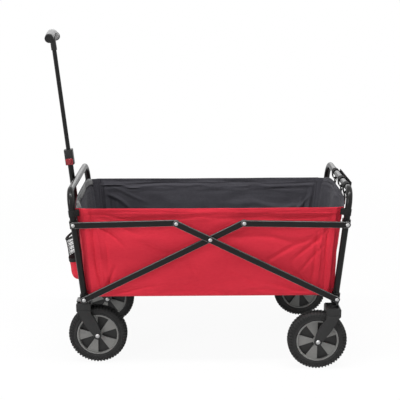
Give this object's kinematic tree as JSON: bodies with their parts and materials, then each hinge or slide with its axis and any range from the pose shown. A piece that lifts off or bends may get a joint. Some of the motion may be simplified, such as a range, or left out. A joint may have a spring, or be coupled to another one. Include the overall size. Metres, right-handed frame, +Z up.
{
  "type": "folding camp wagon",
  "caption": "Folding camp wagon: fabric tub on a scissor-linked steel frame with swivelling front casters, cup pockets and a telescoping pull handle.",
  "frame": {"origin": "middle of the bounding box's base, on the ground", "axes": "+Z up, +X towards the rear (the end without the handle), +Y towards the far side as the wagon is seen with its handle on the left"},
  "size_m": [0.9704, 0.562, 1.0514],
  "materials": {
    "frame_steel": "gloss black powder coat",
    "zinc": "zinc plated",
    "fork_plastic": "moulded, satin",
    "rim_plastic": "moulded, satin",
    "tyre_rubber": "matte moulded rubber",
    "red_fabric": "woven polyester, dark lining inside",
    "floor_fabric": "woven polyester over a stiff board",
    "webbing": "woven webbing",
    "black_plastic": "satin",
    "grip_grey": "soft-touch, satin",
    "red_plastic": "gloss"
  },
  "bodies": {
    "rear_end": {"rear_end_frame": "frame_steel", "rear_post_sleeves": "frame_steel", "rear_cross_tube": "frame_steel", "rear_post_rivets": "zinc", "rear_floor_lugs": "frame_steel", "tub_rear_panel": "red_fabric", "tub_near_panel": "red_fabric", "tub_far_panel": "red_fabric", "rear_rail_straps": "webbing", "rear_fork_necks": "frame_steel", "rear_fork_near": "fork_plastic", "rear_fork_far": "fork_plastic", "rear_axle_near": "zinc", "rear_axle_far": "zinc"},
    "rear_bars": {"rear_bar_near": "frame_steel", "rear_bar_far": "frame_steel", "centre_rivets": "zinc", "front_hinge_rivets": "zinc"},
    "front_bars": {"front_bar_near": "frame_steel", "front_bar_far": "frame_steel"},
    "front_end": {"front_end_frame": "frame_steel", "front_post_sleeves": "frame_steel", "front_cross_tube": "frame_steel", "front_post_rivets": "zinc", "front_floor_lugs": "frame_steel", "tub_front_panel": "red_fabric", "cup_pocket_near": "red_fabric", "cup_pocket_far": "red_fabric", "caster_mounts": "frame_steel", "handle_bracket": "frame_steel", "handle_pivot_bolt": "zinc"},
    "rear_links": {"rear_link_near": "frame_steel", "rear_link_far": "frame_steel", "rear_hinge_rivets": "zinc"},
    "front_links": {"front_link_near": "frame_steel", "front_link_far": "frame_steel"},
    "rear_floor": {"rear_floor_frame": "frame_steel", "rear_floor_panel": "floor_fabric"},
    "front_floor": {"front_floor_frame": "frame_steel", "front_floor_panel": "floor_fabric"},
    "caster_near": {"front_fork_near": "fork_plastic", "front_axle_near": "zinc"},
    "caster_far": {"front_fork_far": "fork_plastic", "front_axle_far": "zinc"},
    "front_wheel_near": {"front_rim_near": "rim_plastic", "front_tyre_near": "tyre_rubber"},
    "front_wheel_far": {"front_rim_far": "rim_plastic", "front_tyre_far": "tyre_rubber"},
    "rear_wheel_near": {"rear_rim_near": "rim_plastic", "rear_tyre_near": "tyre_rubber"},
    "rear_wheel_far": {"rear_rim_far": "rim_plastic", "rear_tyre_far": "tyre_rubber"},
    "handle_lower": {"handle_lower_tube": "frame_steel", "handle_collar": "black_plastic", "button_bezel": "red_plastic"},
    "handle_upper": {"handle_upper_tube": "frame_steel", "grip_core": "black_plastic", "grip_sleeve": "grip_grey"},
    "button": {"push_button": "red_plastic"}
  },
  "joints": [
    {"name": "fold", "type": "hinge", "parent": "rear_end", "child": "rear_bars", "pos_m": [0.4209, 0, 0.23], "axis": [0, 1, 0], "range_deg": [0, 49.5], "deforming": ["tub_near_panel", "tub_far_panel"]},
    {"name": "cross", "type": "hinge", "parent": "rear_bars", "child": "front_bars", "pos_m": [0.0269, 0, 0.425], "axis": [0, 1, 0], "range_deg": [-99, 0]},
    {"name": "front_level", "type": "hinge", "parent": "front_bars", "child": "front_end", "pos_m": [-0.3671, 0, 0.23], "axis": [0, 1, 0], "range_deg": [0, 49.5]},
    {"name": "rear_link_turn", "type": "hinge", "parent": "rear_end", "child": "rear_links", "pos_m": [0.44698, 0, 0.47009], "axis": [0, 1, 0], "range_deg": [0, 69.7]},
    {"name": "front_link_turn", "type": "hinge", "parent": "front_end", "child": "front_links", "pos_m": [-0.39318, 0, 0.47009], "axis": [0, 1, 0], "range_deg": [-69.7, 0]},
    {"name": "rear_floor_turn", "type": "hinge", "parent": "rear_end", "child": "rear_floor", "pos_m": [0.4019, 0, 0.24], "axis": [0, 1, 0], "range_deg": [0, 85.2]},
    {"name": "front_floor_turn", "type": "hinge", "parent": "front_end", "child": "front_floor", "pos_m": [-0.3481, 0, 0.24], "axis": [0, 1, 0], "range_deg": [-85.2, 0]},
    {"name": "swivel_near", "type": "hinge", "parent": "front_end", "child": "caster_near", "pos_m": [-0.3751, -0.179, 0.198], "axis": [0, 0, 1], "continuous": true},
    {"name": "swivel_far", "type": "hinge", "parent": "front_end", "child": "caster_far", "pos_m": [-0.3751, 0.179, 0.198], "axis": [0, 0, 1], "continuous": true},
    {"name": "front_spin_near", "type": "hinge", "parent": "caster_near", "child": "front_wheel_near", "pos_m": [-0.3331, -0.179, 0.094], "axis": [0, 1, 0], "continuous": true},
    {"name": "front_spin_far", "type": "hinge", "parent": "caster_far", "child": "front_wheel_far", "pos_m": [-0.3331, 0.179, 0.094], "axis": [0, 1, 0], "continuous": true},
    {"name": "rear_spin_near", "type": "hinge", "parent": "rear_end", "child": "rear_wheel_near", "pos_m": [0.3639, -0.246, 0.094], "axis": [0, 1, 0], "continuous": true},
    {"name": "rear_spin_far", "type": "hinge", "parent": "rear_end", "child": "rear_wheel_far", "pos_m": [0.3639, 0.246, 0.094], "axis": [0, 1, 0], "continuous": true},
    {"name": "handle_tilt", "type": "hinge", "parent": "front_end", "child": "handle_lower", "pos_m": [-0.3839, 0, 0.19], "axis": [0, -1, 0], "range_deg": [0, 92]},
    {"name": "handle_slide", "type": "slide", "parent": "handle_lower", "child": "handle_upper", "axis": [-0.1035, 0, 0.9946], "range_m": [-0.32, 0]},
    {"name": "button_press", "type": "slide", "parent": "handle_lower", "child": "button", "axis": [0, 1, 0], "range_m": [0, 0.0025], "stiffness_N_per_m": 400, "springref_m": -0.002}
  ],
  "couplings": [
    {"joint": "cross", "follows": "fold", "ratio": -2},
    {"joint": "front_level", "follows": "fold", "ratio": 1},
    {"joint": "rear_link_turn", "follows": "fold", "ratio": 1.4025},
    {"joint": "front_link_turn", "follows": "fold", "ratio": -1.4025},
    {"joint": "rear_floor_turn", "follows": "fold", "ratio": 1.7172},
    {"joint": "front_floor_turn", "follows": "fold", "ratio": -1.7172}
  ]
}
